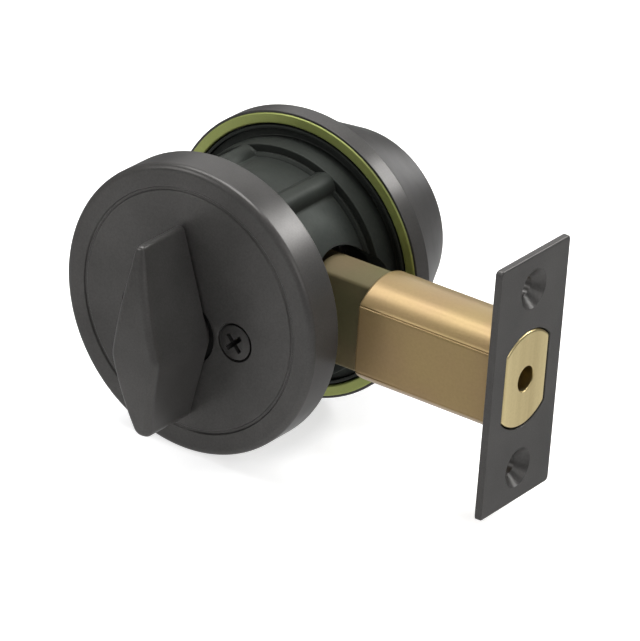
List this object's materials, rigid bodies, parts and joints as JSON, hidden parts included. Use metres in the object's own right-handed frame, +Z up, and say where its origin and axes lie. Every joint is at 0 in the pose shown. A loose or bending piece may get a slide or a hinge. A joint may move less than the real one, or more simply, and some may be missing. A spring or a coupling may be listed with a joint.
{
  "type": "deadbolt door lock",
  "caption": "Dark bronze tubular deadbolt with a thumbturn rose, a tapered key-cylinder collar and a square-cornered latch faceplate.",
  "frame": {"origin": "where the axis of the door's cross bore meets the bolt's centre line, midway through the door", "axes": "+X the way the bolt is thrown, out of the door's edge; +Y through the door towards the key side; +Z up"},
  "size_m": [0.1026, 0.0828, 0.0652],
  "materials": {
    "bronze": "dark oil-rubbed bronze coating on cast zinc, satin",
    "bronze_screw": "black-bronze coated steel, satin",
    "bronze_brass": "dark bronze finish on brass, satin",
    "zinc_steel": "bright zinc-plated steel",
    "black_nylon": "moulded black nylon, matt",
    "spring_steel": "bare spring steel",
    "dichromate_steel": "golden-tan zinc dichromate plated steel",
    "olive_dichromate": "olive zinc dichromate plated steel",
    "green_dichromate": "yellow-green zinc dichromate plated steel",
    "bolt_brass": "satin brass",
    "hardened_steel": "hardened steel, ground",
    "dark_casting": "dark grey-green coated zinc casting, satin",
    "pin_brass": "turned brass",
    "pin_nickel": "nickel-plated brass"
  },
  "bodies": {
    "lock": {"rose": "bronze", "rose_backing_plate": "zinc_steel", "thumbturn_bushing": "black_nylon", "mounting_screws": "bronze_screw", "thumbturn_spring_washer": "spring_steel", "faceplate": "bronze", "inner_faceplate": "dichromate_steel", "latch_case": "dichromate_steel", "cam_frame": "olive_dichromate", "frame_rivets": "zinc_steel", "chassis": "dark_casting", "chassis_screws": "zinc_steel", "collar": "bronze", "backing_ring": "green_dichromate", "cylinder_body": "bronze_brass", "cylinder_screws": "zinc_steel", "anti_drill_pins": "hardened_steel", "top_pins": "pin_nickel", "pin_springs": "spring_steel", "spring_cover": "pin_brass"},
    "thumbturn": {"thumbturn": "bronze", "thumbturn_retaining_ring": "spring_steel"},
    "cam": {"cam": "zinc_steel", "cam_drive_pin": "hardened_steel"},
    "bolt": {"bolt": "bolt_brass", "bolt_hardened_pin": "hardened_steel", "bolt_tail": "zinc_steel", "tail_rivet": "zinc_steel"},
    "tailpiece": {"tailpiece": "zinc_steel"},
    "key_plug": {"key_plug": "bronze_brass", "plug_cap": "zinc_steel", "bottom_pins": "pin_brass"}
  },
  "joints": [
    {"name": "thumbturn_turn", "type": "hinge", "parent": "lock", "child": "thumbturn", "pos_m": [0, 0, -0.0048], "axis": [0, 1, 0], "range_deg": [0, 90]},
    {"name": "tailpiece_turn", "type": "hinge", "parent": "lock", "child": "tailpiece", "pos_m": [0, 0, -0.0048], "axis": [0, 1, 0], "range_deg": [0, 90]},
    {"name": "cam_turn", "type": "hinge", "parent": "lock", "child": "cam", "pos_m": [0, 0, -0.0048], "axis": [0, 1, 0], "range_deg": [0, 90]},
    {"name": "bolt_throw", "type": "slide", "parent": "lock", "child": "bolt", "axis": [1, 0, 0], "range_m": [0, 0.0254]},
    {"name": "key_plug_turn", "type": "hinge", "parent": "lock", "child": "key_plug", "pos_m": [0, 0, -0.0048], "axis": [0, 1, 0], "range_deg": [0, 90]}
  ],
  "couplings": [
    {"joint": "tailpiece_turn", "follows": "thumbturn_turn", "ratio": 1},
    {"joint": "cam_turn", "follows": "thumbturn_turn", "ratio": 1},
    {"joint": "bolt_throw", "follows": "thumbturn_turn", "m_per_rad": 0.01617}
  ]
}
